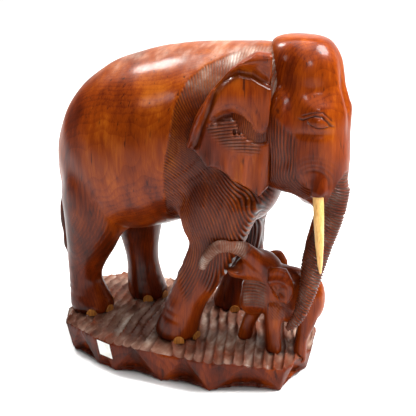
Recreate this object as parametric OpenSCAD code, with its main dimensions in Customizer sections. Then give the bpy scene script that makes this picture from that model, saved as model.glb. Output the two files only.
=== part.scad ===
// Carved wooden elephant: a mother with her calf on a chip-carved base.
// +X is the way the mother faces, +Y is her left side, +Z is up.
// The origin is on the underside of the base, below the middle of the mother.

/* [Base] */
// Height of the ground that the mother stands on
base_h = 42; // [30:1:60]
// Ground left clear beyond the feet at the front and back
end_margin = 17; // [8:1:40]
// Ground left clear beyond the feet at the sides
side_margin = 16; // [8:1:40]
// Extra ground on the side where the calf stands
near_shelf = 13; // [0:1:30]
// How far the long sides lean in towards the underside
base_lean = 6; // [0:1:20]
// Height of the scallops along the lower edge
scallop_h = 7; // [3:0.5:12]
// Width of one scallop
scallop_w = 72; // [50:1:110]
// Width of the flat that each tooth stands on
tooth_flat = 3; // [2:0.5:8]

/* [Mother] */
// Height of the mother above the ground
mother_h = 395; // [300:1:520]
// How far her head turns to her right, in degrees
head_turn = 4; // [0:1:12]
// How far her head tilts to her left, in degrees
head_tilt = 4; // [0:1:8]

/* [Calf] */
// Height of the calf's back above the ground
calf_h = 120; // [95:1:135]
// How far the calf turns away from the mother's line, in degrees
calf_turn = 25; // [0:1:35]

/* [Tusks] */
// Length of a tusk outside its socket
tusk_len = 92; // [60:1:120]
// Diameter of a tusk where it leaves the socket
tusk_d = 13; // [9:0.5:16]
// Diameter of the round peg on a tusk
peg_d = 8; // [5:0.5:10]
// Length of the peg
peg_len = 16; // [8:1:22]
// Clearance all round the peg in its socket
peg_gap = 0.06; // [0.02:0.01:0.1]

/* [Toenails] */
// Width of an inlaid toenail
nail_w = 14; // [8:0.5:16]
// Height of an inlaid toenail
nail_h = 9; // [5:0.5:12]
// How deep a toenail is let into the foot
nail_deep = 4; // [2:0.5:6]

/* [Sticker] */
// Side of the square paper sticker
sticker_w = 22; // [15:1:30]
// Thickness of the paper
sticker_t = 0.3; // [0.2:0.1:0.6]

/* [Hidden] */
// The mother and the calf are drawn at these heights, then scaled
mother_drawn = 395;
calf_drawn = 120;
m = mother_h / mother_drawn;
k = calf_h / calf_drawn;

// How far the feet reach from the origin, at the drawn size
reach_back = 169;
reach_front = 154;
reach_side = 84;

// Edges of the ground
back_x = -reach_back * m - end_margin;
front_x = reach_front * m + end_margin;
near_y = -reach_side * m - side_margin - near_shelf;
far_y = reach_side * m + side_margin;

// Where the ground starts to fall towards the calf's end, and how steeply
slope_x = 96 * m;
slope_angle = 9;

head_pivot = [110, 0, 220];
ear_place = [128, -52, 0];
ear_angle = 207;
ear_t = 15;
nail_angles = [-62, -4, 56];
nail_proud = 0.8;
seat_gap = 0.1;
tusk_clear = 0.4;
sheath_d = 21;
sheath_len = 44;
// Where each tusk leaves its sheath, and the point it aims at: the left one lies behind the trunk
tusk_roots = [[180, -27, 206], [180, 27, 206]];
tusk_aims = [[194, -40, 117], [169, 26, 117]];
body_sides = 28;
limb_sides = 18;
exact = 96;

// Rings of a limb: [x, y, z, half width along Y, half depth across the limb]
torso_rings = [
    [-186, 0, 205, 12, 22], [-180, 0, 208, 32, 52], [-165, 0, 212, 50, 78], [-144, 0, 219, 66, 96],
    [-105, 1, 230, 84, 112], [-58, 2, 242, 91, 117], [-9, 3, 257, 91, 113], [40, 2, 270, 85, 105],
    [77, 0, 281, 74, 97], [101, -2, 290, 62, 90], [128, -4, 300, 44, 74]
];
head_rings = [
    [138, 0, 389, 8, 12], [138, 0, 386, 24, 28], [137, 0, 378, 36, 38], [138, 0, 361, 44, 46],
    [139, 0, 333, 47, 50], [144, 0, 305, 48, 56], [146, 0, 280, 47, 55], [150, 0, 250, 43, 54],
    [156, 0, 224, 36, 48], [163, 0, 208, 30, 41], [177, 0, 197, 23, 27], [186, 0, 188, 18, 18]
];
trunk_rings = [
    [189, 0, 215, 21, 20], [187, -2, 182, 18, 18.5], [180, -8, 147, 16.5, 17], [176, -16, 117, 15, 15.5],
    [175, -24, 92, 12, 12], [170, -33, 60, 8.7, 8.7], [161, -38, 42, 6.8, 6.8], [155, -40, 36, 4, 4]
];
front_right_rings = [
    [76, -42, 200, 30, 36], [56, -45, 140, 25, 32], [36, -45, 98, 22, 28], [14, -49, 50, 22, 24],
    [5, -52, 20, 25, 26], [2, -52, 5, 28, 29], [2, -52, 0, 28, 29]
];
front_left_rings = [
    [66, 48, 195, 32, 36], [52, 55, 136, 27, 27], [53, 58, 86, 23, 24], [42, 58, 42, 22, 23],
    [36, 58, 16, 24, 25], [34, 58, 4, 26, 27], [34, 58, 0, 26, 27]
];
hind_right_rings = [
    [-122, -36, 175, 40, 48], [-130, -34, 120, 36, 38], [-143, -31, 80, 27, 27], [-149, -30, 50, 21, 21.5],
    [-144, -30, 20, 25, 26], [-140, -30, 5, 28, 29.5], [-140, -30, 0, 28, 29.5]
];
hind_left_rings = [
    [-105, 42, 175, 40, 48], [-102, 41, 120, 34, 35], [-99, 40, 80, 24, 25], [-97, 40, 52, 21, 21.5],
    [-93, 40, 20, 25, 25.5], [-90, 40, 5, 27, 28.5], [-90, 40, 0, 27, 28.5]
];
tail_rings = [
    [-182, 4, 255, 6, 6], [-193, 3, 215, 6, 6], [-194, -2, 170, 6, 5], [-190, -8, 125, 6, 5],
    [-186, -12, 96, 8, 8], [-184, -14, 76, 7, 7], [-183, -15, 64, 3, 3]
];

// The calf is drawn facing -X, with its own origin on the ground below its middle
calf_body_rings = [
    [45, 0, 66, 7, 10], [40, 0, 66, 17, 24], [28, 0, 66, 23, 32], [10, 0, 69, 24, 38],
    [-7, 0, 73, 23, 38], [-22, 0, 79, 21, 36], [-36, 0, 79, 19, 33], [-49, 0, 74, 15, 28], [-59, 0, 69, 9, 18]
];
calf_head_rings = [
    [-12, 0, 98, 14, 18], [-22, 0, 104, 20, 23], [-36, 0, 109, 20, 23], [-49, -1, 112, 16, 20],
    [-60, -2, 109, 12, 14], [-70, -3, 105, 8, 8], [-76, -4, 104, 4, 4]
];
calf_trunk_rings = [
    [-34, -9, 114, 13, 12], [-42, -11, 121, 12, 12], [-57, -14, 137, 10.5, 10.5], [-73, -17, 145, 9.5, 9.5],
    [-90, -21, 145, 8.5, 8.5], [-102, -21, 134, 7.3, 7.3], [-109, -17, 118, 5.8, 5.8], [-110, -16, 112, 3.5, 3.5]
];
calf_fore_left_rings = [
    [-19, -13, 66, 11, 13], [-20, -14, 40, 10, 11], [-20, -14, 20, 9, 10], [-19, -14, 2, 9.5, 10.5],
    [-19, -14, -16, 9.5, 10.5]
];
calf_fore_right_rings = [
    [-26, 12, 70, 11, 13], [-38, 12, 50, 9.5, 10.5], [-48, 12, 30, 8, 8.5], [-54, 12, 6, 8.5, 9.5],
    [-55, 12, -14, 8.5, 9.5]
];
calf_hind_left_rings = [
    [26, -11, 62, 12, 15], [22, -13, 38, 9, 11], [17, -13, 16, 7, 7], [15, -13, 0, 7.5, 8.5],
    [15, -13, -18, 7.5, 8.5]
];
calf_hind_right_rings = [
    [27, 11, 62, 12, 15], [25, 12, 38, 9, 11], [21, 12, 16, 7, 7.5], [19, 12, 0, 7.5, 8.5],
    [19, 12, -18, 7.5, 8.5]
];
calf_place = [140, -15];

calf_ear_place = [-26, -20, 0];
calf_ear_angle = -14;
calf_ear_t = 9;
calf_ear_outline = [[0, 116], [10, 120], [20, 118], [28, 104], [28, 86], [22, 72], [14, 76], [6, 84], [0, 98]];

// Outline of an ear: along its plane from the cheek, and height above the ground
ear_outline = [
    [4, 371], [20, 373], [46, 355], [68, 330], [85, 301], [95, 269], [79, 255], [64, 241],
    [50, 236], [33, 220], [17, 212], [4, 219]
];

function unit(v) = v / norm(v);
function place_of(ring) = [ring[0], ring[1], ring[2]];

// A smooth curve through four rings, between the middle two
function blend_rings(a, b, c, d, t) =
    0.5 * (2 * b + (c - a) * t + (2 * a - 5 * b + 4 * c - d) * t * t + (3 * b - a - 3 * c + d) * t * t * t);

function smooth_rings(rings, steps) = let (last = len(rings) - 1) concat(
    [for (i = [0:last - 1], s = [0:steps - 1])
        blend_rings(rings[max(i - 1, 0)], rings[i], rings[i + 1], rings[min(i + 2, last)], s / steps)],
    [rings[last]]
);

function run_of(rings, i) = let (last = len(rings) - 1)
    unit(place_of(rings[min(i + 1, last)]) - place_of(rings[max(i - 1, 0)]));

function ring_points(ring, run, n) = let (
    side = unit([0, 1, 0] - run[1] * run),
    up = cross(run, side)
) [for (i = [0:n - 1]) let (a = 360 * i / n)
    place_of(ring) + ring[3] * cos(a) * side + ring[4] * sin(a) * up];

// A limb is one closed skin over its rings, which stand across its own run or across the one given
module limb(rings, n = limb_sides, steps = 2, run = undef) {
    path = smooth_rings(rings, steps);
    count = len(path);
    points = [for (i = [0:count - 1])
        each ring_points(path[i], is_undef(run) ? run_of(path, i) : run, n)];
    walls = [for (i = [0:count - 2], j = [0:n - 1]) let (
        a = i * n + j,
        b = i * n + (j + 1) % n
    ) each [[a, b + n, b], [a, a + n, b + n]]];
    first_cap = [for (j = [0:n - 1]) j];
    last_cap = [for (j = [0:n - 1]) count * n - 1 - j];
    polyhedron(points, concat(walls, [first_cap, last_cap]));
}

module on_ground(scale_to) {
    translate([0, 0, base_h]) scale(scale_to) children();
}

module turn_head() {
    translate(head_pivot) rotate([-head_tilt, 0, -head_turn]) translate(-head_pivot) children();
}

module calf_stand() {
    translate([calf_place[0] * m, calf_place[1] * m, base_h - 4]) rotate([0, 0, calf_turn]) scale(k) children();
}

// The edge of the ground, going round from the back corner on the near side
outline = [
    [back_x + 18, near_y + 65], [back_x + 36, near_y + 29], [back_x + 92, near_y + 7], [back_x + 120, near_y],
    [front_x - 99, near_y + 4], [front_x - 13, near_y + 42], [front_x, 0], [front_x - 11, far_y - 43],
    [front_x - 59, far_y - 2], [back_x + 39, far_y], [back_x, far_y - 38]
];
corners = len(outline);
sticker_side = 2;
function leaned(p) = p * (1 - base_lean / -near_y);

module base_block() {
    top = [for (p = outline) [p[0], p[1], base_h]];
    bottom = [for (p = outline) [leaned(p)[0], leaned(p)[1], 0]];
    walls = [for (i = [0:corners - 1]) let (j = (i + 1) % corners)
        each [[i, j, j + corners], [i, j + corners, i + corners]]];
    top_cap = [for (i = [0:corners - 1]) corners - 1 - i];
    bottom_cap = [for (i = [0:corners - 1]) i + corners];
    difference() {
        polyhedron(concat(top, bottom), concat(walls, [top_cap, bottom_cap]));
        calf_slope();
    }
}

module calf_slope() {
    translate([slope_x, 0, base_h]) rotate([0, slope_angle, 0])
        translate([0, -far_y * 2, 0]) cube([front_x, far_y * 4, base_h]);
}

// One cut for each arch between two teeth of the lower edge
module scallops() {
    for (i = [0:corners - 1]) {
        a = leaned(outline[i]);
        b = leaned(outline[(i + 1) % corners]);
        run = unit(b - a);
        count = max(1, round(norm(b - a) / scallop_w));
        w = norm(b - a) / count;
        h = scallop_h * min(1, w / scallop_w);
        chord = w - tooth_flat;
        r = (chord * chord / 4 + h * h) / (2 * h);
        for (j = [0:count - 1])
            translate([each (a + run * w * (j + 0.5)), h - r]) rotate([90, 0, atan2(run[1], run[0])])
                cylinder(r = r, h = 32, center = true, $fn = exact);
    }
}

module base() {
    color("sienna") difference() {
        base_block();
        scallops();
    }
}

module sticker() {
    a = outline[sticker_side];
    b = outline[sticker_side + 1];
    foot = [each leaned((a + b) / 2), 0];
    up = unit([each ((a + b) / 2), base_h] - foot);
    run = unit([each (b - a), 0]);
    out = cross(run, up);
    mid = foot + up * (base_h - sticker_w / 2 - 1) + run * 3;
    color("white") multmatrix([for (i = [0:2]) [run[i], up[i], out[i], mid[i]]])
        linear_extrude(sticker_t) square(sticker_w, center = true);
}

module torso_shape() { on_ground(m) limb(torso_rings, body_sides, run = [1, 0, 0]); }
module head_shape() { on_ground(m) turn_head() limb(head_rings, body_sides, run = [0, 0, -1]); }
module mother_body() { color("chocolate") torso_shape(); }

function tilted(v) = let (c = cos(head_tilt), s = sin(head_tilt))
    [v[0], v[1] * c + v[2] * s, v[2] * c - v[1] * s];
function turned(p) = let (v = tilted(p - head_pivot), c = cos(head_turn), s = sin(head_turn))
    head_pivot + [v[0] * c + v[1] * s, v[1] * c - v[0] * s, v[2]];
function on_mother(p) = [p[0] * m, p[1] * m, base_h + p[2] * m];

// Stands its children's Z axis along a tusk, at its root
module at_tusk(i) {
    root = turned(tusk_roots[i]);
    run = unit(turned(tusk_aims[i]) - root);
    translate(on_mother(root)) rotate([0, acos(run[2]), atan2(run[1], run[0])]) children();
}

module tusk(i) {
    r = tusk_d / 2;
    edge = 0.8;
    color("khaki") at_tusk(i) rotate_extrude($fn = exact) polygon([
        [0, -peg_len], [peg_d / 2 - edge, -peg_len], [peg_d / 2, edge - peg_len], [peg_d / 2, seat_gap],
        [r, seat_gap], [r * 0.96, tusk_len * 0.3], [r * 0.78, tusk_len * 0.62], [r * 0.48, tusk_len * 0.87],
        [r * 0.2, tusk_len * 0.98], [0, tusk_len]
    ]);
}

module sheaths() {
    for (i = [0, 1])
        at_tusk(i) translate([0, 0, -sheath_len])
            cylinder(d1 = sheath_d + 4, d2 = sheath_d, h = sheath_len, $fn = exact);
}

// The bore for each peg, and the hollow that keeps the head clear of the tusk below its sheath
module tusk_sockets() {
    depth = peg_len + 1;
    for (i = [0, 1]) at_tusk(i) {
        translate([0, 0, -depth]) cylinder(d = peg_d + 2 * peg_gap, h = depth + 1, $fn = exact);
        cylinder(d = tusk_d + 2 * tusk_clear, h = tusk_len, $fn = exact);
    }
}

module mother_head() {
    color("peru") difference() {
        union() {
            head_shape();
            sheaths();
        }
        torso_shape();
        tusk_sockets();
    }
}

module mother_trunk() {
    color("sandybrown") difference() {
        on_ground(m) turn_head() limb(trunk_rings, limb_sides, 3);
        head_shape();
    }
}

module ear(side) {
    color("burlywood") difference() {
        on_ground(m) mirror([0, side < 0 ? 1 : 0, 0]) translate(ear_place) rotate([90, 0, ear_angle])
            linear_extrude(ear_t) polygon(ear_outline);
        torso_shape();
        head_shape();
        sheaths();
    }
}

// A toenail's own shape, a disc with a flat lower edge, pushed into the foot at this angle
module nail_plug(foot, angle) {
    r = nail_w / 2;
    reach = foot[4] + nail_proud;
    translate(on_mother([foot[0], foot[1], 0])) rotate([0, 0, angle])
        translate([reach * m - nail_deep, 0, nail_h - r + 1]) rotate([90, 0, 90]) linear_extrude(nail_deep)
            difference() {
                circle(r, $fn = exact);
                translate([-r, -r * 2 - (nail_h - r)]) square(r * 2);
            }
}

module leg(rings) {
    color("chocolate") difference() {
        on_ground(m) limb(rings);
        torso_shape();
        base_block();
        for (angle = nail_angles) nail_plug(rings[len(rings) - 1], angle);
    }
}

module nail(rings, i) {
    color("wheat") nail_plug(rings[len(rings) - 1], nail_angles[i]);
}

module tail() {
    color("saddlebrown") difference() {
        on_ground(m) limb(tail_rings, 12);
        torso_shape();
        on_ground(m) limb(hind_right_rings);
    }
}

module calf_body_shape() { calf_stand() limb(calf_body_rings, run = [-1, 0, 0]); }
module calf_head_shape() { calf_stand() limb(calf_head_rings, run = [-1, 0, 0]); }

module calf_body() {
    color("rosybrown") difference() {
        calf_body_shape();
        on_ground(m) turn_head() limb(trunk_rings, limb_sides, 3);
    }
}

module calf_head() {
    color("tan") difference() {
        calf_head_shape();
        calf_body_shape();
    }
}

module calf_trunk() {
    color("sandybrown") difference() {
        calf_stand() limb(calf_trunk_rings, 12);
        calf_head_shape();
        on_ground(m) limb(front_right_rings);
    }
}

module calf_ear(side) {
    color("burlywood") difference() {
        calf_stand() mirror([0, side < 0 ? 1 : 0, 0]) translate(calf_ear_place) rotate([90, 0, calf_ear_angle])
            linear_extrude(calf_ear_t) polygon(calf_ear_outline);
        calf_body_shape();
        calf_head_shape();
        on_ground(m) turn_head() limb(trunk_rings, limb_sides, 3);
    }
}

module calf_leg(rings) {
    color("chocolate") difference() {
        calf_stand() limb(rings);
        calf_body_shape();
        base_block();
        on_ground(m) turn_head() limb(trunk_rings, limb_sides, 3);
    }
}

base();
mother_body();
mother_head();
mother_trunk();
ear(1);  // mother_right_ear
ear(-1);  // mother_left_ear
tail();  // mother_tail
leg(front_right_rings);  // front_right_leg
leg(front_left_rings);  // front_left_leg
leg(hind_right_rings);  // hind_right_leg
leg(hind_left_rings);  // hind_left_leg
calf_body();
calf_head();
calf_trunk();
calf_ear(1);  // calf_left_ear
calf_ear(-1);  // calf_right_ear
calf_leg(calf_fore_left_rings);  // calf_front_left_leg
calf_leg(calf_fore_right_rings);  // calf_front_right_leg
calf_leg(calf_hind_left_rings);  // calf_hind_left_leg
calf_leg(calf_hind_right_rings);  // calf_hind_right_leg
tusk(0);  // right_tusk
tusk(1);  // left_tusk
sticker();
nail(front_right_rings, 0);  // front_right_nail_right
nail(front_right_rings, 1);  // front_right_nail_front
nail(front_right_rings, 2);  // front_right_nail_left
nail(front_left_rings, 0);  // front_left_nail_right
nail(front_left_rings, 1);  // front_left_nail_front
nail(front_left_rings, 2);  // front_left_nail_left
nail(hind_right_rings, 0);  // hind_right_nail_right
nail(hind_right_rings, 1);  // hind_right_nail_front
nail(hind_right_rings, 2);  // hind_right_nail_left
nail(hind_left_rings, 0);  // hind_left_nail_right
nail(hind_left_rings, 1);  // hind_left_nail_front
nail(hind_left_rings, 2);  // hind_left_nail_left
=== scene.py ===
"""Looks of a carved wooden elephant with her calf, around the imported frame."""
import math

import bmesh
import bpy
import numpy as np
from mathutils import Matrix, Vector


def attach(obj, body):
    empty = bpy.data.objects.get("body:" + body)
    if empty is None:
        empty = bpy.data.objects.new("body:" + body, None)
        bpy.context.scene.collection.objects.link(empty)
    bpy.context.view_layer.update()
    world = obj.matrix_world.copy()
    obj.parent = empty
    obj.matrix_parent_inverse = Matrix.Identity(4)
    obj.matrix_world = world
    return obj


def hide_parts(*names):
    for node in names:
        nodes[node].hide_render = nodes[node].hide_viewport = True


MM = 0.001
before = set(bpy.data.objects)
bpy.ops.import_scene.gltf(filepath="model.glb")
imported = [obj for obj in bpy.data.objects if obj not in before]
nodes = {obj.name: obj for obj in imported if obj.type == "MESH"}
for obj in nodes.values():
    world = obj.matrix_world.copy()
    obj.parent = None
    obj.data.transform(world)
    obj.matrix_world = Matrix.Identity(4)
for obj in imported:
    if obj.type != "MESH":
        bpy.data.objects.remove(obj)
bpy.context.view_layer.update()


# ---------------------------------------------------------------- shape tools
def node_clay(members):
    """The blocked-out timber of these frame nodes, in one bmesh."""
    bm = bmesh.new()
    for name in members:
        bm.from_mesh(nodes[name].data)
    return bm


def add_lump(bm, centre, size, turn=(0, 0, 0)):
    """A rounded lump of timber left on the block: centre and half sizes in mm, turn in degrees."""
    turned = Matrix.Rotation(math.radians(turn[2]), 4, "Z") @ Matrix.Rotation(math.radians(turn[1]), 4, "Y")
    turned = turned @ Matrix.Rotation(math.radians(turn[0]), 4, "X")
    place = Matrix.Translation(Vector(centre) * MM) @ turned @ Matrix.Diagonal((*(Vector(size) * MM), 1))
    bmesh.ops.create_icosphere(bm, subdivisions=3, radius=1, matrix=place)


def new_object(name, bm):
    """Turns a bmesh into an object in the scene."""
    mesh = bpy.data.meshes.new(name)
    bm.to_mesh(mesh)
    bm.free()
    obj = bpy.data.objects.new(name, mesh)
    bpy.context.collection.objects.link(obj)
    return obj


def apply_modifiers(obj):
    """Settles the object's modifiers into its own mesh."""
    bpy.context.view_layer.update()
    shaped = bpy.data.meshes.new_from_object(obj.evaluated_get(bpy.context.evaluated_depsgraph_get()))
    obj.modifiers.clear()
    old = obj.data
    obj.data = shaped
    bpy.data.meshes.remove(old)


def fuse(obj, voxel, rounds, factor=0.5, weights=None):
    """Fuses overlapping clay into one skin on a grid of voxel mm, then rounds it off over some rounds."""
    grid = obj.modifiers.new("grid", "REMESH")
    grid.mode = "VOXEL"
    grid.voxel_size = voxel * MM
    apply_modifiers(obj)
    if weights is not None:
        group = obj.vertex_groups.new(name="round")
        for i, weight in enumerate(weights(points_of(obj))):
            group.add([i], float(weight), "REPLACE")
    ease = obj.modifiers.new("ease", "SMOOTH")
    ease.factor = factor
    ease.iterations = rounds
    if weights is not None:
        ease.vertex_group = "round"
    apply_modifiers(obj)


def refine(obj):
    """Splits every face in four and rounds the skin once more."""
    fine = obj.modifiers.new("fine", "SUBSURF")
    fine.levels = 1
    fine.render_levels = 1
    apply_modifiers(obj)


def refine_where(obj, chosen):
    """Splits the faces whose middle lies in the chosen zone, for detail that only that zone needs."""
    bm = bmesh.new()
    bm.from_mesh(obj.data)
    bm.faces.ensure_lookup_table()
    middles = np.array([f.calc_center_median() for f in bm.faces]) / MM
    keep = chosen(middles)
    edges = {e for f, inside in zip(bm.faces, keep) if inside for e in f.edges}
    bmesh.ops.subdivide_edges(bm, edges=list(edges), cuts=1, use_grid_fill=True)
    bm.to_mesh(obj.data)
    bm.free()


def per_vertex(obj, what):
    flat = np.empty(len(obj.data.vertices) * 3)
    obj.data.vertices.foreach_get(what, flat)
    return flat.reshape(-1, 3)


def points_of(obj):
    """Where the vertices are, in mm."""
    return per_vertex(obj, "co") / MM


def normals_of(obj):
    return per_vertex(obj, "normal")


def place_points(obj, p):
    """Puts the vertices at these places in mm."""
    obj.data.vertices.foreach_set("co", (p * MM).ravel())
    obj.data.update()


def push(obj, amount):
    """Moves each vertex along its normal by its own amount in mm."""
    place_points(obj, points_of(obj) + normals_of(obj) * amount[:, None])


def keep_value(obj, name, values):
    """Stores one number per vertex for the shaders."""
    attr = obj.data.attributes.get(name) or obj.data.attributes.new(name, "FLOAT", "POINT")
    attr.data.foreach_set("value", values.astype(np.float32))


def smooth_step(low, high, v):
    """0 at low and 1 at high with soft ends, which may also fall from left to right."""
    t = np.clip((v - low) / (high - low), 0, 1)
    return t * t * (3 - 2 * t)


def window(v, start, full, ease, end):
    """1 from full to ease, fading to 0 at start and at end."""
    return smooth_step(start, full, v) * smooth_step(end, ease, v)


def nearest_on(p, path):
    """For each point: its distance to a polyline, how far along the nearest place is, the way from that place
    to the point and the way the line runs there. Last comes the length of the whole line."""
    path = np.array(path, float)
    best = np.full(len(p), 1e9)
    place = np.zeros(len(p))
    gap = np.zeros_like(p)
    run_there = np.zeros_like(p)
    start = 0.0
    for a, b in zip(path[:-1], path[1:]):
        run = b - a
        length = np.linalg.norm(run)
        t = np.clip(((p - a) @ run) / length ** 2, 0, 1)
        off = p - (a + t[:, None] * run)
        d = np.linalg.norm(off, axis=1)
        near = d < best
        best[near] = d[near]
        place[near] = start + t[near] * length
        gap[near] = off[near]
        run_there[near] = run
        start += length
    return best, place, gap, run_there, start


def along_path(p, path):
    """Distance from each 2-D point to a polyline, its share of the way along, and the side it is on."""
    best, place, gap, run, length = nearest_on(p, path)
    return best, place / length, np.sign(run[:, 0] * gap[:, 1] - run[:, 1] * gap[:, 0])


def stroke(p, path, width):
    """A tool's cut along a path: 1 in the middle, 0 past its width, fading at both ends."""
    d, place, _ = along_path(p, path)
    return np.exp(-(d / width) ** 2) * smooth_step(0, 0.12, place) * smooth_step(0, 0.12, 1 - place)


def v_cut(phase, sharp=1.6):
    """Profile of neighbouring V-tool cuts: 0 on the crests, 1 in the bottoms."""
    return np.abs(np.cos(math.pi * phase)) ** sharp


def bell(v, width):
    """A smooth hump: 1 where the value is 0, falling away over the width."""
    return np.exp(-(v / width) ** 2)


# ---------------------------------------------------------------- the mother's body and legs
BODY_NODES = ["mother_body", "front_right_leg", "front_left_leg", "hind_right_leg", "hind_left_leg",
              "mother_tail"]
# The V-tool lines lie this far apart: a fan turns round a point under the ear, arcs turn round the belly,
# and the two meet at the join. Places are x and z in mm
LINE_GAP = 3.6
EAR_CENTRE = (111, 237)
FAN_RADIUS = 175
BELLY_CENTRE = (-64, 173)
JOIN = (18, 302)
# Rear edge of the lined zone, from the top of the neck down to the foot
BAND_EDGE = [(122, 440), (103, 425), (84, 417), (64, 408), (40, 396), (24, 380), (14, 354), (10, 318),
             (2, 279), (-4, 237), (-14, 201), (-5, 182), (8, 160), (0, 131), (-14, 100)]
# Lines on the thighs turn round a point behind her, and lie this far apart
THIGH_CENTRE = (-215, 235)
THIGH_GAP = 4.2
# The folds where the flank meets the hind and the front leg
THIGH_CREASE = [(-78, 158), (-88, 178), (-98, 200), (-100, 222)]
ELBOW_CREASE = [(4, 170), (-2, 190), (-8, 212)]
CREASE_WIDTH = 6
# How deep each kind of cut goes, in mm
NECK_DEPTH = 1.8
THIGH_DEPTH = 0.5
CREASE_DEPTH = 2.2
FOLD_DEPTH = 0.9


def body_weights(p):
    """How strongly each place is rounded off: the trunk of the body most, the feet least."""
    return 0.2 + 0.8 * smooth_step(95, 175, p[:, 2])


def angle_phase(x, z):
    """Counts the lines of the fan round the ear."""
    turn = np.arctan2(z - EAR_CENTRE[1], x - EAR_CENTRE[0])
    turn = np.where(turn < -2, turn + 2 * math.pi, turn)
    return -turn * FAN_RADIUS / LINE_GAP


def ring_phase(x, z):
    """Counts the arcs round the belly."""
    return np.hypot(x - BELLY_CENTRE[0], z - BELLY_CENTRE[1]) / LINE_GAP


def neck_lines(p):
    """Phase of the V-tool lines: a fan round the ear that turns into arcs over the shoulder and the leg."""
    x, z = p[:, 0], p[:, 2]
    shift = angle_phase(*JOIN) - ring_phase(*JOIN)
    swap = smooth_step(325, 280, z + 0.25 * (x - 10))
    wander = 0.25 * np.sin(x / 23 + z / 17) + 0.18 * np.sin(z / 9 - x / 31)
    return angle_phase(x, z) * (1 - swap) + (ring_phase(x, z) + shift) * swap + wander


def neck_mask(p):
    """Where those lines are cut: in front of the band's rear edge, fading out on the lower leg."""
    d, _, side = along_path(p[:, [0, 2]], BAND_EDGE)
    inside = np.where(side > 0, d, -d)
    low = 118 + 14 * np.sin(p[:, 0] / 5.0)
    mask = smooth_step(-1, 2, inside) * smooth_step(low - 14, low + 8, p[:, 2])
    return mask * smooth_step(10, 26, np.abs(p[:, 1]))


def thigh_lines(p):
    """Phase of the fainter lines on the hind thighs, and where they are cut."""
    x, z = p[:, 0], p[:, 2]
    phase = np.hypot(x - THIGH_CENTRE[0], z - THIGH_CENTRE[1]) / THIGH_GAP
    mask = window(x, -150, -132, -100, -84) * window(z, 118, 138, 190, 236)
    return phase, mask * smooth_step(20, 34, np.abs(p[:, 1]))


def foot_folds(p):
    """Soft folds of skin above each foot."""
    z = p[:, 2]
    wave = z + 3 * np.sin(p[:, 0] / 13) + 2 * np.sin(p[:, 1] / 9)
    fold = bell(wave - 72, 3) + 0.7 * bell(wave - 82, 2.5)
    return fold * (0.4 + 0.6 * np.sin(np.arctan2(p[:, 1], p[:, 0]) * 3 + p[:, 0] / 20))


def body_clay():
    """The body's blocks, with timber left on for the shoulders, thighs, chest and the tuft of the tail."""
    bm = node_clay(BODY_NODES)
    for side in (-1, 1):
        add_lump(bm, (50, side * 50, 235), (36, 30, 66), (0, 22, 0))
        add_lump(bm, (-122, side * 44, 215), (40, 34, 66), (0, 6, 0))
    add_lump(bm, (74, 0, 250), (46, 50, 56))
    add_lump(bm, (-190, -7, 168), (10, 11, 32))
    return bm


def mother_body():
    """Her body, legs and tail as one carved piece, lined with the V-tool in front."""
    obj = new_object("carved_mother_body", body_clay())
    fuse(obj, 5, 24, weights=body_weights)
    refine(obj)
    refine_where(obj, lambda middle: neck_mask(middle) > 0.02)
    p = points_of(obj)
    neck = neck_mask(p) * v_cut(neck_lines(p))
    phase, mask = thigh_lines(p)
    thigh = mask * v_cut(phase)
    flat = p[:, [0, 2]]
    creases = stroke(flat, THIGH_CREASE, CREASE_WIDTH) + stroke(flat, ELBOW_CREASE, CREASE_WIDTH)
    waves = 0.35 * np.sin(p[:, 0] / 11 + p[:, 2] / 19) * np.sin(p[:, 2] / 13 - p[:, 1] / 15)
    cuts = NECK_DEPTH * neck + THIGH_DEPTH * thigh + CREASE_DEPTH * creases + FOLD_DEPTH * foot_folds(p)
    push(obj, 1.5 + waves - cuts)
    # Painted shade: the wood is darkened in the bottoms of the neck and thigh lines
    keep_value(obj, "cut", np.clip(neck + 0.6 * thigh, 0, 1))
    # Pale on the upward faces high on the back: partly worn varnish, partly painted sheen of the light from
    # above
    worn_and_sheen = 0.42 * smooth_step(0.55, 0.95, normals_of(obj)[:, 2]) * smooth_step(330, 390, p[:, 2])
    keep_value(obj, "dust_and_sheen", np.clip(0.7 * neck * smooth_step(350, 400, p[:, 2]) + worn_and_sheen, 0, 1))
    return obj


# ---------------------------------------------------------------- the mother's head and trunk
HEAD_NODES = ["mother_head", "mother_trunk"]
# The head is turned and tilted, in degrees, about this place
HEAD_PIVOT = np.array([110.0, 0.0, 262.0])
HEAD_TURN = -4
HEAD_TILT = -4
# Middle line of the trunk, from the brow down to the tip
TRUNK_PATH = [(195, 0, 300), (190, 0, 262), (187, -2, 224), (180, -8, 189), (176, -16, 159), (175, -24, 134),
              (170, -33, 102), (161, -38, 84), (153, -41, 74)]
RING_GAP = 3.7
# Lines down the cheek turn round the root of the tusk and stop at an edge beside the eye: x and z in mm
CHEEK_CENTRE = (169, 272)
CHEEK_GAP = 3.3
CHEEK_EDGE = [(119, 372), (127, 358), (131, 347), (142, 336), (153, 325), (162, 314), (164, 300), (160, 290)]
# Folds over the sheath of the tusk: radius, width and strength of each
SHEATH_CENTRE = (176, 264)
SHEATH_FOLDS = [(15, 1.6, 1.0), (19.5, 1.2, 0.8), (24, 1.2, 0.6), (28, 1.2, 0.4)]
EYE = (179, 38.5, 339)
EYEBALL = (178.5, 38.5, 338.5)
EYEBALL_SIZE = (4.6, 9, 4.2)
# Each line of the eye: its path in x and z, its width and its strength
UPPER_LID = [(155, 342), (162, 340), (169, 343), (175, 345), (182, 344), (187, 339), (190, 334), (194, 331)]
LID_FOLD = [(159, 344), (168, 347), (175, 349), (182, 349), (188, 343), (192, 337)]
LOWER_LID = [(166, 340), (171, 335), (178, 332), (185, 332), (190, 334)]
EYE_LINES = [(UPPER_LID, 1.1, 1.0), (LID_FOLD, 0.9, 0.7), (LOWER_LID, 0.9, 0.8)]
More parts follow.
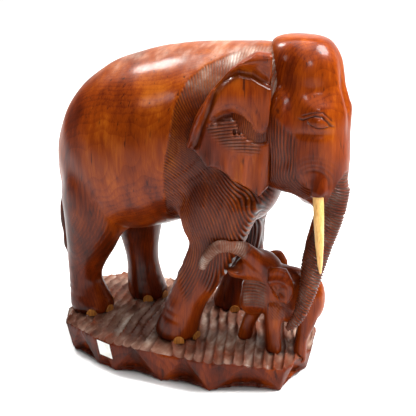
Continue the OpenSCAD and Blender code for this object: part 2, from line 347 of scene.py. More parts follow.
# Soft forms on both sides of the face: height in mm, place and size
FACE_FORMS = [
    (1.2, (170, 22, 405), (34, 30, 26)),    # dome of the forehead
    (-3.6, (171, 38, 372), (15, 16, 12)),   # hollow of the temple
    (3.2, EYE, (12, 14, 9)),                # swelling round the eye
    (-2.2, (173, 42, 324), (20, 14, 4.5)),  # groove under the eye
    (2.0, (190, 12, 370), (16, 7, 38)),     # ridge beside the nose
    (-2.5, (196, 0, 362), (14, 6, 34)),     # valley between the two ridges
    (3.0, (150, 42, 275), (26, 20, 26)),    # jaw
    (-3.0, (160, 34, 262), (6, 12, 16)),    # hollow behind the sheath of the tusk
    (2.5, (182, 30, 318), (14, 14, 22)),    # cheekbone
    (1.6, (178, 38, 353), (14, 12, 6)),     # brow
]
# The far brow stands out past the outline of the face
FAR_BROW = (4.5, (193, 32, 351), (12, 14, 7))
# How deep each kind of cut goes, in mm
RING_DEPTH = 1.75
CHEEK_DEPTH = 1.1
SHEATH_DEPTH = 0.7
LID_DEPTH = 0.9


def head_frame(p):
    """The same points with the head's turn and tilt undone."""
    turned = Matrix.Rotation(math.radians(HEAD_TURN), 3, "Z")
    tilted = Matrix.Rotation(math.radians(HEAD_TILT), 3, "X")
    return (p - HEAD_PIVOT) @ np.array(turned @ tilted) + HEAD_PIVOT


def bump(q, centre, size):
    """A soft bump of height 1 at a place on both cheeks, with its own size in mm each way."""
    folded = np.column_stack([q[:, 0], np.abs(q[:, 1]), q[:, 2]])
    return np.exp(-(((folded - centre) / size) ** 2).sum(axis=1))


def trunk_rings(q):
    """Phase of the rings round the trunk, and where they are cut."""
    d, place, gap, _, length = nearest_on(q, TRUNK_PATH)
    lean = gap[:, 0] + 0.25 * np.abs(gap[:, 1])
    top_edge = 277 + 2.4 * (q[:, 0] - 204)
    mask = smooth_step(3, -2, q[:, 2] - top_edge) * smooth_step(34, 28, d)
    return (place - 0.32 * lean) / RING_GAP, mask * smooth_step(length, length - 6, place)


def cheek_lines(q):
    """Phase and place of the lines down the cheek, which turn into arcs under the tusk's sheath."""
    x, z = q[:, 0], q[:, 2]
    r = np.hypot(x - CHEEK_CENTRE[0], np.minimum(z - CHEEK_CENTRE[1], 0))
    wander = 0.3 * np.sin(z / 15) + 0.12 * np.sin(z / 6 + x / 9)
    d, _, side = along_path(q[:, [0, 2]], CHEEK_EDGE)
    behind = (side < 0) | (z < 290)
    mask = np.where(behind, smooth_step(0, 6, d), 0) * smooth_step(10, 15, r)
    mask *= window(x, 112, 117, 168, 176) * window(z, 240, 248, 350, 375)
    return r / CHEEK_GAP + wander, mask * smooth_step(14, 24, np.abs(q[:, 1]))


def sheath_arcs(q):
    """Folds of skin over the top of the tusk's sheath."""
    x, z = q[:, 0] - SHEATH_CENTRE[0], (q[:, 2] - SHEATH_CENTRE[1]) * 0.85
    r = np.hypot(x, z)
    arc = window(np.degrees(np.arctan2(z, x)), -25, 5, 125, 150) * smooth_step(12, 20, np.abs(q[:, 1]))
    return arc * sum(strength * bell(r - radius, width) for radius, width, strength in SHEATH_FOLDS)


def eye_cuts(q):
    """The lines of the lids, on both sides of the face."""
    flat = q[:, [0, 2]]
    lines = sum(strength * stroke(flat, path, width) for path, width, strength in EYE_LINES)
    return np.clip(smooth_step(14, 22, np.abs(q[:, 1])) * lines, 0, 1.3)


def head_forms(q):
    """The big soft forms of the face, as height in mm."""
    height, centre, size = FAR_BROW
    far_brow = height * bump(q, centre, size) * (q[:, 1] > 0)
    return sum(height * bump(q, centre, size) for height, centre, size in FACE_FORMS) + far_brow


def head_clay():
    """The head's blocks, with timber left on for the skull, the jaw, the dome and the chin."""
    bm = node_clay(HEAD_NODES)
    add_lump(bm, (130, 0, 328), (30, 57, 74))
    add_lump(bm, (132, -2, 284), (36, 46, 42))
    add_lump(bm, (141, 0, 386), (40, 40, 41))
    add_lump(bm, (160, -2, 244), (13, 20, 15), (0, 30, 0))
    return bm


def near_eye(middles):
    """Where the skin is fine enough for the lids and the eyeball."""
    return bump(head_frame(middles), EYE, (22, 24, 18)) > 0.3


def lined_face(middles):
    """Where the head needs a finer skin: the trunk's rings, the cheek's lines and the eye."""
    q = head_frame(middles)
    return (trunk_rings(q)[1] > 0.02) | (cheek_lines(q)[1] > 0.02) | near_eye(middles)


def mother_head():
    """Her head and trunk as one carved piece."""
    obj = new_object("carved_mother_head", head_clay())
    fuse(obj, 3.2, 12)
    refine(obj)
    push(obj, head_forms(head_frame(points_of(obj))))
    refine_where(obj, lined_face)
    refine_where(obj, near_eye)
    q = head_frame(points_of(obj))
    phase, mask = trunk_rings(q)
    rings = mask * v_cut(phase, 1.8)
    phase, mask = cheek_lines(q)
    cheek = mask * v_cut(phase)
    arcs = sheath_arcs(q)
    lids = eye_cuts(q)
    cuts = RING_DEPTH * rings + CHEEK_DEPTH * cheek + SHEATH_DEPTH * arcs + LID_DEPTH * lids
    push(obj, 0.9 - cuts + 0.8 * bump(q, EYEBALL, EYEBALL_SIZE))
    # Painted shade: darker in the trunk rings, the cheek lines, the sheath folds and the eyelids
    keep_value(obj, "cut", np.clip(rings + 0.9 * cheek + 0.4 * arcs + lids, 0, 1))
    keep_value(obj, "dust_and_sheen", rings * 0.3)
    return obj


# ---------------------------------------------------------------- ears
# An ear's own frame: its root on the cheek, the way it runs back from there and the way its face looks
EAR_PLACE = np.array([128.0, -52.0, 0.0])
EAR_ANGLE = math.radians(207)
EAR_ALONG = np.array([math.cos(EAR_ANGLE), math.sin(EAR_ANGLE), 0])
EAR_OUT = np.array([-math.sin(EAR_ANGLE), math.cos(EAR_ANGLE), 0])
UP = np.array([0, 0, 1])
# Lines on the ear: mm back from the cheek and mm up. The rim is a roll with a groove at its foot
RIM_CREST = [(97, 313), (91, 325), (86, 338), (82, 349), (75, 366), (68, 381), (57, 394), (42, 403),
             (25, 406), (0, 408)]
RIM_FOOT = [(84, 310), (77, 333), (71, 349), (67, 361), (64, 371), (58, 380), (49, 388), (39, 393), (25, 390),
            (15, 383), (6, 378)]
S_VALLEY = [(62, 340), (55, 344), (46, 346), (40, 341), (35, 331), (28, 322), (20, 317), (12, 316), (0, 322)]
EAR_HEM = [(97, 314), (88, 306), (77, 298), (65, 286), (50, 276), (33, 265), (22, 257), (10, 253)]
# The hem hangs in this many points, this far down in mm
HEM_POINTS = 3.15
HEM_DROP = 6.5
# Soft lobes over the lower ear lie this far apart
LOBE_GAP = 19
# The fan of ridges: its centre, spacing and depth in mm, and how narrow its crests are
FAN_CENTRE = (20, 362)
FAN_GAP = 3.6
FAN_DEPTH = 1.6
FAN_SHARP = 1.2


def ear_height(u, z):
    """Height of the ear's face over its plane in mm, u mm back from the cheek and z mm up."""
    flat = np.column_stack([u, z])
    crest, _, _ = along_path(flat, RIM_CREST)
    foot, along, side = along_path(flat, RIM_FOOT)
    valley, _, s_side = along_path(flat, S_VALLEY)
    rim = 4.0 * bell(crest, 5.5)
    groove = (4.0 + 3.5 * smooth_step(0.2, 0.6, along)) * bell(foot, np.where(side > 0, 2.2, 9.0))
    swelling = 2.5 * bell(np.hypot((u - 38) / 28, (z - 365) / 18), 1)
    cushion = 3.0 * bell(np.hypot((u - 42) / 17, (z - 318) / 16), 1)
    hollow = 6.5 * bell(valley, np.where(s_side < 0, 10, 2.6))
    lobes = 2.0 * np.cos((u - 34) * 2 * math.pi / LOBE_GAP) * smooth_step(312, 280, z)
    return rim - groove + swelling - hollow + cushion + lobes - 1.5 * smooth_step(300, 250, z)


def hem_shift(u, z):
    """The lower edge hangs in points with hollows between: how far it moves down there, in mm."""
    d, along, _ = along_path(np.column_stack([u, z]), EAR_HEM)
    points = 1 - np.abs(np.sin(math.pi * (along * HEM_POINTS + 0.02)))
    return (HEM_DROP * points - 2.5) * smooth_step(13, 2, d)


def ear_ridges(u, z):
    """Phase of the fan of short raised ridges below the S-shaped hollow, and where they are cut."""
    valley, _, side = along_path(np.column_stack([u, z]), S_VALLEY)
    across, up = u - FAN_CENTRE[0], z - FAN_CENTRE[1]
    mask = np.where(side > 0, smooth_step(0.5, 3, valley), 0)
    mask *= window(np.hypot(across, up), 25, 29, 54, 64)
    mask *= window(np.arctan2(up, across), -1.75, -1.55, -0.42, -0.30)
    return (z + 0.16 * u + 0.004 * (u - 60) ** 2 * np.sign(60 - u)) / FAN_GAP, mask


def ear_shade(u, z):
    """Painted shade in the groove of the rim and in the S-shaped hollow."""
    flat = np.column_stack([u, z])
    foot, _, _ = along_path(flat, RIM_FOOT)
    valley, _, _ = along_path(flat, S_VALLEY)
    return 0.75 * bell(foot, 3.2) + 0.7 * bell(valley, 2.6)


def mother_ear(name, node, side):
    """One ear; side is 1 for her right ear and -1 for the left, which is carved as its mirror image."""
    obj = new_object(name, node_clay([node]))
    fuse(obj, 2.4, 7)
    refine(obj)
    mirror = np.array([1, side, 1])
    q = points_of(obj) * mirror
    u = (q - EAR_PLACE) @ EAR_ALONG
    z = q[:, 2]
    face = smooth_step(-7, -3, (q - EAR_PLACE) @ EAR_OUT)
    phase, mask = ear_ridges(u, z)
    ridge_cut = v_cut(phase, FAN_SHARP)
    height = face * (ear_height(u, z) + 1.2 * mask - FAN_DEPTH * mask * ridge_cut)
    spread = (0.07 * (u - 6))[:, None] * EAR_ALONG + (0.045 * (z - 318))[:, None] * UP
    q = q + height[:, None] * EAR_OUT + spread
    q[:, 2] -= hem_shift(u, q[:, 2])
    place_points(obj, q * mirror)
    # Painted shade in the ridge cuts, the rim's groove and the S-shaped hollow
    keep_value(obj, "cut", np.clip(0.9 * mask * ridge_cut + face * ear_shade(u, q[:, 2]), 0, 1))
    # Pale colour on the crests of the fan of ridges: a painted highlight
    keep_value(obj, "dust_and_sheen", 0.25 * mask * (1 - ridge_cut))
    return obj


# ---------------------------------------------------------------- the calf
CALF_NODES = ["calf_body", "calf_head", "calf_trunk", "calf_front_left_leg", "calf_front_right_leg",
              "calf_hind_left_leg", "calf_hind_right_leg", "calf_left_ear", "calf_right_ear"]
# Where the calf stands and how far it is turned, in degrees. It is drawn facing -X, its left side on -Y
CALF_PLACE = np.array([140.0, -15.0, 38.0])
CALF_TURN = 25
# Middle line of its lifted trunk, from the brow to the tip
CALF_TRUNK = [(-46, -14, 126), (-57, -14, 137), (-73, -17, 145), (-90, -21, 145), (-102, -21, 134),
              (-109, -17, 118), (-110, -16, 108)]
CALF_RING_GAP = 2.9
THROAT_GAP = 4.0
FLANK_GAP = 3.6
# Middle of the ear's hollow: x and z in mm
CALF_EAR = (-18, 88)
MOUTH = (-66, -6, 112)
MOUTH_SIZE = (7, 14, 2.6)
# How deep each kind of cut goes, in mm
CALF_RING_DEPTH = 1.1
THROAT_DEPTH = 0.9
FLANK_DEPTH = 0.6
STAR_DEPTH = 0.9
CALF_EAR_DEPTH = 3.2
MOUTH_DEPTH = 3.5


def calf_frame(p):
    """The same points as the calf is drawn."""
    return (p - CALF_PLACE) @ np.array(Matrix.Rotation(math.radians(CALF_TURN), 3, "Z"))


def calf_lump(bm, centre, size, tilt=0):
    """A lump left on the calf: centre and half sizes in mm as the calf is drawn, tilt in degrees."""
    turned = Matrix.Rotation(math.radians(CALF_TURN), 3, "Z")
    add_lump(bm, turned @ Vector(centre) + Vector(CALF_PLACE), size, (0, tilt, CALF_TURN))


def calf_trunk_rings(c):
    """Phase of the rings round the lifted trunk, and where they are cut."""
    d, place, _, _, _ = nearest_on(c, CALF_TRUNK)
    return place / CALF_RING_GAP, smooth_step(16, 13, d) * smooth_step(8, 16, place)


def near_side(c):
    """1 on the calf's left, which is the near side, fading out over its back."""
    return smooth_step(-2, -9, c[:, 1])


def calf_throat(c):
    """Lines that sag across the throat on the near side."""
    x, z = c[:, 0], c[:, 2]
    sag = z + 0.02 * (x + 44) ** 2
    mask = near_side(c) * window(x, -60, -55, -34, -28) * window(sag, 60, 66, 95, 101)
    return mask * v_cut(sag / THROAT_GAP, 1.2)


def calf_flank(c):
    """Slanting lines behind the foreleg on the near side."""
    x, z = c[:, 0], c[:, 2]
    mask = near_side(c) * window(x, -30, -24, -2, 6) * window(z, 45, 50, 70, 76)
    return mask * v_cut((x + 0.8 * z) / FLANK_GAP, 1.4)


def calf_ear(c):
    """The near ear: a five-rayed star cut in its middle, and the hollow round it inside a raised rim."""
    across, up = c[:, 0] - CALF_EAR[0], c[:, 2] - CALF_EAR[1]
    turn, r = np.arctan2(up, across), np.hypot(across, up)
    face = smooth_step(-24, -28, c[:, 1])
    star = window(r, 0, 3, 6, 13) * (0.5 + 0.5 * np.cos(turn * 5 + r / 4))
    hollow = bell(r, 8) - 0.8 * bell(r - 17, 4) * smooth_step(-1.2, 0.2, turn)
    return face * star, face * hollow


def calf_clay():
    """The calf's blocks, with timber left on for the shoulder, the neck, the brow and the lower lip."""
    bm = node_clay(CALF_NODES)
    calf_lump(bm, (-48, 2, 62), (14, 14, 18))
    calf_lump(bm, (-44, -2, 84), (13, 13, 18))
    calf_lump(bm, (-36, -8, 118), (15, 13, 12), 20)
    calf_lump(bm, (-68, -8, 106), (13, 8, 4), 20)
    return bm


def calf():
    """The whole calf as one carved piece."""
    obj = new_object("carved_calf", calf_clay())
    fuse(obj, 2.4, 7)
    refine(obj)
    c = calf_frame(points_of(obj))
    phase, mask = calf_trunk_rings(c)
    rings = mask * v_cut(phase, 1.2)
    throat, flank = calf_throat(c), calf_flank(c)
    star, hollow = calf_ear(c)
    mouth = bump(c, MOUTH, MOUTH_SIZE)
    cuts = CALF_RING_DEPTH * rings + THROAT_DEPTH * throat + FLANK_DEPTH * flank
    push(obj, 0.6 - cuts - STAR_DEPTH * star - CALF_EAR_DEPTH * hollow - MOUTH_DEPTH * mouth)
    # Painted shade in the cuts of the trunk, throat, flank and ear star, and in the ear's hollow
    dark = rings + throat + 0.6 * flank + 0.5 * star + 0.3 * np.clip(hollow, 0, 1)
    keep_value(obj, "cut", np.clip(dark, 0, 1))
    dusty = 0.8 * rings * smooth_step(-52, -62, c[:, 0]) + 0.3 * throat + 0.9 * mouth
    keep_value(obj, "dust_and_sheen", np.clip(dusty, 0, 1))
    return obj


# ---------------------------------------------------------------- the base
# Corners of the ground's upper edge, going round
OUTLINE = [(-168, -48), (-150, -84), (-94, -106), (-66, -113), (72, -109), (158, -71), (171, 0), (160, 57),
           (112, 98), (-147, 100), (-186, 62)]
# Width of a gouge's lane and length of one stroke along it
GOUGE_LANE = 12.5
GOUGE_STROKE = 74
# Each side has a hollow over each arch of the lower edge, as wide as the arch and this high and deep
ARCH_WIDTH = 72
HOLLOW_HEIGHT = 46
HOLLOW_DEPTH = 10.5


def scatter(n):
    """A number from 0 to 1 for each n that looks like chance, but stays the same."""
    return np.mod(np.sin(n * 12.9898 + 4.1) * 43758.5453, 1.0)


def gouges(x, y):
    """Depth of the overlapping gouge strokes on the ground in mm, and 0 to 1 from ridge to bottom."""
    turn = 0.1 + 0.2 * smooth_step(-20, 30, x)
    across = x * np.cos(turn) + y * np.sin(turn)
    along = y * np.cos(turn) - x * np.sin(turn)
    across = across + 2.5 * np.sin(along / 37 + 1) + 0.9 * np.sin(along / 13 + across / 40)
    lane = np.floor(across / GOUGE_LANE)
    in_lane = across / GOUGE_LANE - lane
    strokes = along / GOUGE_STROKE + 5 * scatter(lane)
    in_stroke = strokes - np.floor(strokes)
    chance = scatter(lane * 7.3 + np.floor(strokes) * 3.1)
    scoop = np.sin(math.pi * in_lane) ** 0.8
    slant = (in_lane - 0.5) * (1.2 + 2.2 * chance)
    return scoop * (3.4 + 1.8 * chance) + 1.6 * slant + 3.0 * in_stroke ** 3, scoop


def side_scoops(p):
    """Depth of the hollows on the sides, which narrow upward from the arches, and the way into the wood."""
    depth = np.zeros(len(p))
    inward = np.zeros((len(p), 3))
    reach = np.full(len(p), 1e9)
    fade = np.clip(1 - p[:, 2] / HOLLOW_HEIGHT, 0, 1)
    half_open = np.clip(0.96 - p[:, 2] / HOLLOW_HEIGHT, 0.02, 1)
    corners = np.array(OUTLINE, float)
    for a, b in zip(corners, np.roll(corners, -1, axis=0)):
        length = np.linalg.norm(b - a)
        run = (b - a) / length
        t = (p[:, :2] - a) @ run
        off = np.abs((p[:, :2] - a) @ np.array([run[1], -run[0]]))
        near = (t > -1) & (t < length + 1) & (off < 14) & (off < reach)
        width = length / max(1, round(length / ARCH_WIDTH))
        from_middle = np.abs(np.mod(t, width) - width / 2) / (width / 2)
        hollow = np.clip(1 - (from_middle / half_open) ** 2, 0, 1) * fade * min(1, width / 60)
        depth[near] = (HOLLOW_DEPTH * hollow)[near]
        inward[near] = (-run[1], run[0], 0)
        reach[near] = off[near]
    return depth, inward


def carved_base():
    """The base: gouged on top, hollowed on the sides."""
    obj = new_object("carved_base", node_clay(["base"]))
    fuse(obj, 3.0, 1, 0.3)
    refine_where(obj, lambda middle: middle[:, 2] > 1)
    p = points_of(obj)
    rise = normals_of(obj)[:, 2]
    depth, inward = side_scoops(p)
    sideways = smooth_step(0.75, 0.4, np.abs(rise)) * smooth_step(0, 6, p[:, 2])
    p = p + inward * (depth * sideways)[:, None]
    top = smooth_step(0.7, 0.95, rise)
    cut, scoop = gouges(p[:, 0], p[:, 1])
    p[:, 2] -= top * (cut - 3.2)
    place_points(obj, p)
    # Painted shade in the bottoms of the gouges
    keep_value(obj, "cut", 0.35 * top * smooth_step(0.55, 0.95, scoop))
    patch = smooth_step(0.1, 0.9, np.sin(p[:, 0] / 27 + 2) * np.sin(p[:, 1] / 21 + 0.4))
    keep_value(obj, "dust_and_sheen", top * np.clip(0.2 + 0.45 * scoop + 0.45 * patch, 0, 1))
    return obj


# ---------------------------------------------------------------- materials
def linear(code):
    """An sRGB hex colour as linear red, green, blue, alpha."""
    parts = [int(code[i:i + 2], 16) / 255 for i in (1, 3, 5)]
    return (*[c / 12.92 if c <= 0.04045 else ((c + 0.055) / 1.055) ** 2.4 for c in parts], 1)


def start(name):
    """A new material with an empty node tree."""
    mat = bpy.data.materials.new(name)
    mat.use_nodes = True
    mat.node_tree.nodes.clear()
    return mat, mat.node_tree


def add(tree, kind, settings=None, links=None):
    """Adds a shader node; settings are its properties or inputs, links are input name to (node, output)."""
    node = tree.nodes.new(kind)
    for key, value in (settings or {}).items():
        if isinstance(key, str) and hasattr(node, key):
            setattr(node, key, value)
        else:
            node.inputs[key].default_value = value
    for key, (source, output) in (links or {}).items():
        tree.links.new(source.outputs[output], node.inputs[key])
    return node


def finish(tree, shader):
    out = add(tree, "ShaderNodeOutputMaterial")
    tree.links.new(shader.outputs["BSDF"], out.inputs["Surface"])


def stretched(tree, scale, turn=(0, 0, 0), shift=(0, 0, 0)):
    """Object coordinates in metres, scaled along each axis, so a pattern can run along the grain."""
    where = add(tree, "ShaderNodeTexCoord")
    settings = {"Scale": scale, "Rotation": turn, "Location": shift}
    return add(tree, "ShaderNodeMapping", settings, {"Vector": (where, "Object")})


def noise(tree, space, mm, detail, rough=0.55):
    """Noise whose features are about this many mm across."""
    settings = {"Scale": 1000 / mm, "Detail": detail, "Roughness": rough}
    return add(tree, "ShaderNodeTexNoise", settings, {"Vector": (space, "Vector")})


def ramp(tree, source, output, stops):
    """Colours over a value: stops are (place, hex colour)."""
    node = add(tree, "ShaderNodeValToRGB", links={"Fac": (source, output)})
    while len(node.color_ramp.elements) < len(stops):
        node.color_ramp.elements.new(0.5)
    for element, (place, code) in zip(node.color_ramp.elements, stops):
        element.position = place
        element.color = linear(code)
    return node


def span(tree, source, output, low, high, out_low, out_high):
    """Maps a value from one range to another, clamped."""
    settings = {"From Min": low, "From Max": high, "To Min": out_low, "To Max": out_high}
    return add(tree, "ShaderNodeMapRange", settings, {"Value": (source, output)})


def calc(tree, operation, *values):
    """A sum on numbers or (node, output) pairs."""
    node = add(tree, "ShaderNodeMath", {"operation": operation})
    for i, value in enumerate(values):
        if isinstance(value, tuple):
            tree.links.new(value[0].outputs[value[1]], node.inputs[i])
        else:
            node.inputs[i].default_value = value
    return node


def blend(tree, amount, a, b):
    """Mixes two colours: the amount is a (node, output) pair, and each colour is one too or a hex colour."""
    node = add(tree, "ShaderNodeMix", {"data_type": "RGBA"})
    for socket, value in ((0, amount), (6, a), (7, b)):
        if isinstance(value, str):
            node.inputs[socket].default_value = linear(value)
        else:
            tree.links.new(value[0].outputs[value[1]], node.inputs[socket])
    return node


# Stain and varnish over teak, from its darkest streaks to its lightest
TEAK = [(0.36, "#2e0a00"), (0.50, "#571a00"), (0.64, "#7c3000"), (0.88, "#ad5a0c")]
# Pale dust colours, which also paint sheen on the back and highlights on the ear's ridge crests
DUST_AND_SHEEN = [(0.34, "#6b493a"), (0.50, "#8a6858"), (0.60, "#a08676"), (0.72, "#c4b6aa")]
PORE = "#2a0d04"
# Dark brown painted into the cuts as shade
CUT_SHADE_COLOUR = "#210802"
RING_WIDTH = 3.2
RING_BEND = 16


def growth_rings(tree):
    """Distance from an upright pith, bent a little, as a wave that repeats every growth ring."""
    straight = stretched(tree, (1, 1, 0.04), shift=(0.03, -0.17, 0))
    warp = noise(tree, stretched(tree, (1, 1, 0.25)), 70, 2.0)
    reach = {1: (RING_BEND * MM, RING_BEND * MM, 0)}
    bend = add(tree, "ShaderNodeVectorMath", {"operation": "MULTIPLY_ADD", **reach},
               {0: (warp, "Color"), 2: (straight, "Vector")})
    radius = add(tree, "ShaderNodeVectorMath", {"operation": "LENGTH"}, {0: (bend, "Vector")})
    turns = calc(tree, "MULTIPLY", (radius, "Value"), 1000 / RING_WIDTH)
    return calc(tree, "FRACT", (turns, "Value"))


def grain_tone(tree, cloud, fibre):
    """How light the wood is: broad clouds, upright bands and fibres, dark late wood in each growth ring, and
    painted shade that darkens the wood towards the foot of the block, as if lit from above."""
    band = noise(tree, stretched(tree, (1, 1, 0.06)), 11, 3.0)
    late_wood = span(tree, growth_rings(tree), "Value", 0.5, 1.0, 0.0, 0.05)
    tone = calc(tree, "MULTIPLY_ADD", (cloud, "Fac"), 0.75, -0.02)
    tone = calc(tree, "MULTIPLY_ADD", (band, "Fac"), 0.28, (tone, "Value"))
    tone = calc(tree, "MULTIPLY_ADD", (fibre, "Fac"), 0.24, (tone, "Value"))
    tone = calc(tree, "SUBTRACT", (tone, "Value"), (late_wood, "Result"))
    height = add(tree, "ShaderNodeSeparateXYZ", links={"Vector": (add(tree, "ShaderNodeTexCoord"), "Object")})
    # painted shade: darker low down, a little lighter high up
    painted_low_shade = span(tree, height, "Z", 0.06, 0.42, -0.13, 0.03)
    return calc(tree, "ADD", (tone, "Value"), (painted_low_shade, "Result"))


def with_pores(tree, colour):
    """Short dark pores along the grain."""
    pore = noise(tree, stretched(tree, (1, 1, 0.12)), 4.5, 2.0)
    streak = span(tree, pore, "Fac", 0.35, 0.27, 0.0, 0.8)
    return blend(tree, (streak, "Result"), (colour, "Color"), PORE)


def with_painted_cut_shade(tree, colour):
    """Painted shade in the tool cuts: the wood goes dark brown where the cut value is high."""
    cut = add(tree, "ShaderNodeAttribute", {"attribute_name": "cut"})
    cut_shade_amount = calc(tree, "MULTIPLY", (cut, "Fac"), 0.88)
    return blend(tree, (cut_shade_amount, "Value"), (colour, "Result"), CUT_SHADE_COLOUR)


def settled_dust_and_sheen(tree):
    """How much old dust, worn varnish, painted sheen and painted highlight lies here, combed along the gouge
    strokes, and its colour.
    """
    combed = stretched(tree, (1, 0.3, 1), turn=(0, 0, 0.2))
    speck = noise(tree, combed, 16, 6.0)
    lies = add(tree, "ShaderNodeAttribute", {"attribute_name": "dust_and_sheen"})
    patchy = span(tree, speck, "Fac", 0.28, 0.6, 0.55, 1.0)
    return calc(tree, "MULTIPLY", (lies, "Fac"), (patchy, "Result")), ramp(tree, speck, "Fac", DUST_AND_SHEEN)


def varnished_teak(name, coat, satin):
    """Teak sawn upright from the log and stained under brushed varnish: fine upright fibres and short dark
    pores, growth rings that show as arcs where the block was cut across, a gloss that dust makes dull.
    Shade is painted into the cuts and towards the foot, and a pale painted sheen onto upward faces and ridge
    crests."""
    mat, tree = start(name)
    cloud = noise(tree, stretched(tree, (1, 1, 0.3)), 55, 4.0, 0.6)
    fibre = noise(tree, stretched(tree, (1, 1, 0.06)), 1.6, 4.0, 0.65)
    colour = ramp(tree, grain_tone(tree, cloud, fibre), "Value", TEAK)
    colour = with_painted_cut_shade(tree, with_pores(tree, colour))
    dust_and_sheen, dust_and_sheen_colour = settled_dust_and_sheen(tree)
    colour = blend(tree, (dust_and_sheen, "Value"), (colour, "Result"), (dust_and_sheen_colour, "Color"))
    rough = span(tree, cloud, "Fac", 0.3, 0.7, satin - 0.06, satin + 0.08)
    rough = calc(tree, "MULTIPLY_ADD", (dust_and_sheen, "Value"), 0.35, (rough, "Result"))
    gloss = calc(tree, "MULTIPLY_ADD", (dust_and_sheen, "Value"), -0.85 * coat, coat)
    grain = add(tree, "ShaderNodeBump", {"Strength": 0.22, "Distance": 0.0005}, {"Height": (fibre, "Fac")})
    brushed = noise(tree, stretched(tree, (1, 1, 1)), 14, 2.0)
    waves = add(tree, "ShaderNodeBump", {"Strength": 0.12, "Distance": 0.0012}, {"Height": (brushed, "Fac")})
    settings = {"IOR": 1.5, "Specular IOR Level": 0.05, "Coat Roughness": 0.17, "Coat IOR": 1.42}
    links = {"Base Color": (colour, "Result"), "Roughness": (rough, "Value"), "Coat Weight": (gloss, "Value"),
             "Normal": (grain, "Normal"), "Coat Normal": (waves, "Normal")}
    finish(tree, add(tree, "ShaderNodeBsdfPrincipled", settings, links))
    return mat


def pale_wood(name, light, dark, rough, coat):
    """A pale close-grained hardwood shaped along the grain and waxed: straight fine lines, a few darker
    streaks."""
    mat, tree = start(name)
    along = stretched(tree, (1, 1, 0.05))
    line = noise(tree, along, 1.4, 4.0, 0.6)
    wide = noise(tree, along, 6, 2.0)
    tone = calc(tree, "MULTIPLY_ADD", (wide, "Fac"), 0.6, (line, "Fac"))
    colour = ramp(tree, tone, "Value", [(0.60, dark), (0.95, light)])
    grain = add(tree, "ShaderNodeBump", {"Strength": 0.15, "Distance": 0.0003}, {"Height": (line, "Fac")})
    settings = {"IOR": 1.5, "Roughness": rough, "Coat Weight": coat, "Coat Roughness": 0.2}
    links = {"Base Color": (colour, "Color"), "Normal": (grain, "Normal")}
    finish(tree, add(tree, "ShaderNodeBsdfPrincipled", settings, links))
    return mat


def label_paper(name):
    """Coated label paper, a little yellowed and rubbed, with its fibres just showing."""
    mat, tree = start(name)
    even = stretched(tree, (1, 1, 1))
    mottle = noise(tree, even, 8, 4.0)
    fibre = noise(tree, even, 0.8, 3.0)
    colour = ramp(tree, mottle, "Fac", [(0.3, "#d9d8d0"), (0.6, "#eeeeea")])
    felt = add(tree, "ShaderNodeBump", {"Strength": 0.1, "Distance": 0.0001}, {"Height": (fibre, "Fac")})
    links = {"Base Color": (colour, "Color"), "Normal": (felt, "Normal")}
    finish(tree, add(tree, "ShaderNodeBsdfPrincipled", {"Roughness": 0.6}, links))
    return mat


def backdrop_paper(name):
    """Matte white background paper off a roll: almost even, with a faint cloud in it."""
    mat, tree = start(name)
    mottle = noise(tree, stretched(tree, (1, 1, 1)), 30, 2.0)
    colour = ramp(tree, mottle, "Fac", [(0.3, "#f3f3f2"), (0.7, "#f7f7f6")])
    settings = {"Roughness": 0.9, "Specular IOR Level": 0.1}
    finish(tree, add(tree, "ShaderNodeBsdfPrincipled", settings, {"Base Color": (colour, "Color")}))
    return mat


# ---------------------------------------------------------------- building it
def dress(obj, mat):
    """Gives a new piece its one material and smooth shading."""
    obj.data.materials.clear()
    obj.data.materials.append(mat)
    for face in obj.data.polygons:
        face.use_smooth = True


def redress(obj, mat):
    """Gives a frame node a better material without touching its mesh."""
    for slot in obj.material_slots:
        slot.link = "DATA"
        slot.material = mat


def hand_over(obj, members, mat):
    """Gives a carved piece its material, hangs it on the carving's body and hides the frame nodes it stands
    for.
    """
    dress(obj, mat)
    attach(obj, "carving")
    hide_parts(*members)


teak = varnished_teak("varnished_teak", 0.3, 0.4)
base_teak = varnished_teak("chip_carved_teak", 0.22, 0.45)
hand_over(mother_body(), BODY_NODES, teak)
hand_over(mother_head(), HEAD_NODES, teak)
hand_over(mother_ear("carved_right_ear", "mother_right_ear", 1), ["mother_right_ear"], teak)
hand_over(mother_ear("carved_left_ear", "mother_left_ear", -1), ["mother_left_ear"], teak)
hand_over(calf(), CALF_NODES, teak)
hand_over(carved_base(), ["base"], base_teak)
tusk_wood = pale_wood("pale_tusk_wood", "#efbf76", "#c98f45", 0.38, 0.25)
nail_wood = pale_wood("inlaid_nail_wood", "#b9772f", "#7f4715", 0.35, 0.6)
paper = label_paper("label_paper")
for name in sorted(nodes):
    if "tusk" in name:
        redress(nodes[name], tusk_wood)
    elif "nail" in name:
        redress(nodes[name], nail_wood)
    elif name == "sticker":
        redress(nodes[name], paper)


# ---------------------------------------------------------------- floor, light and camera
# The view is from this side and height in degrees, this far off in metres, at this place in mm
VIEW_AZIMUTH = 24
VIEW_ELEVATION = 20
VIEW_DISTANCE = 1.13
VIEW_AIM = (33, -25, 212)
LENS = 77.9

WHITE = (1, 1, 1)
WARM_WHITE = (1.0, 0.97, 0.93)
MIDDLE = (0, 0, 0.22)
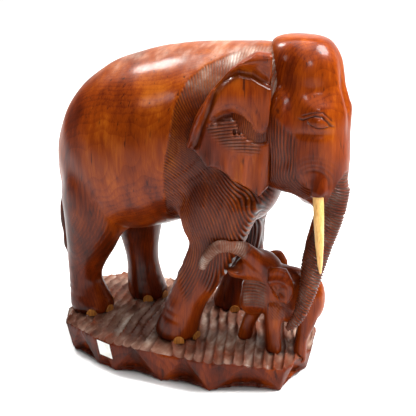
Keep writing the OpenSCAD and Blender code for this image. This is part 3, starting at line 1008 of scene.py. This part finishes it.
# Each lamp: its place and what it points at in metres, diameter in metres, power in watts, colour
LAMPS = {
    "overhead": ((0.2, 0.0, 1.8), MIDDLE, 1.2, 15, WHITE),
    "high_left_window": ((-0.8, 0.1, 1.4), MIDDLE, 0.34, 20, WHITE),
    "left_window": ((-1.1, -1.5, 1.5), MIDDLE, 0.3, 3.4, WARM_WHITE),
    "high_right_lamp": ((0.95, 0.25, 1.3), MIDDLE, 0.6, 42, WHITE),
    "right_fill": ((1.3, -1.5, 1.3), MIDDLE, 0.4, 10, WHITE),
    "wall_light": ((-0.4, 0.8, 2.4), (-0.6, 2.8, 1.1), 2.4, 98, WHITE),
    "floor_light": ((0.9, -0.9, 2.3), (0.5, 0.3, 0.0), 2.2, 15, WHITE),
}


def edges_in(parts):
    return [part for part in parts if isinstance(part, bmesh.types.BMEdge)]


def verts_in(parts):
    return [part for part in parts if isinstance(part, bmesh.types.BMVert)]


def floor():
    """A sheet of paper that lies flat and then rises behind, so the ground has no edge in view."""
    bm = bmesh.new()
    lie = Matrix.Translation((0, -1, 0)) @ Matrix.Diagonal((5, 3, 1, 1))
    bmesh.ops.create_grid(bm, x_segments=1, y_segments=1, size=1, matrix=lie)
    rear = [e for e in bm.edges if all(v.co.y > 1.9 for v in e.verts)]
    bend = {"cent": (0, 2, 1), "axis": (1, 0, 0), "angle": math.radians(80), "steps": 16}
    rear = edges_in(bmesh.ops.spin(bm, geom=rear, **bend)["geom_last"])
    wall = bmesh.ops.extrude_edge_only(bm, edges=rear)["geom"]
    bmesh.ops.translate(bm, vec=(0, 0.4, 3), verts=verts_in(wall))
    bmesh.ops.recalc_face_normals(bm, faces=bm.faces)
    obj = new_object("studio_floor", bm)
    dress(obj, backdrop_paper("backdrop_paper"))


def area_light(name, place, target, size, power, colour):
    """A round lamp that points at its target."""
    data = bpy.data.lights.new(name, "AREA")
    data.shape = "DISK"
    data.size = size
    data.energy = power
    data.color = colour
    lamp = bpy.data.objects.new(name, data)
    bpy.context.collection.objects.link(lamp)
    lamp.location = place
    lamp.rotation_euler = (Vector(target) - Vector(place)).to_track_quat("-Z", "Y").to_euler()


def camera():
    """Looks at the carving from its right, a little from above."""
    azimuth, elevation = math.radians(VIEW_AZIMUTH), math.radians(VIEW_ELEVATION)
    level = Vector((math.sin(azimuth), -math.cos(azimuth), 0)) * math.cos(elevation)
    back = level + Vector((0, 0, math.sin(elevation)))
    data = bpy.data.cameras.new("camera")
    data.lens = LENS
    data.sensor_width = 36
    cam = bpy.data.objects.new("camera", data)
    bpy.context.collection.objects.link(cam)
    cam.location = Vector(VIEW_AIM) * MM + back * VIEW_DISTANCE
    cam.rotation_euler = back.to_track_quat("Z", "Y").to_euler()
    bpy.context.scene.camera = cam


def studio():
    """A dim even sky, and the lamps."""
    scene = bpy.context.scene
    scene.world = bpy.data.worlds.new("studio")
    scene.world.use_nodes = True
    sky = scene.world.node_tree.nodes["Background"]
    sky.inputs["Color"].default_value = linear("#f3f5f8")
    sky.inputs["Strength"].default_value = 0.09
    for name, lamp in LAMPS.items():
        area_light(name, *lamp)
    scene.view_settings.view_transform = "Standard"


floor()
camera()
studio()
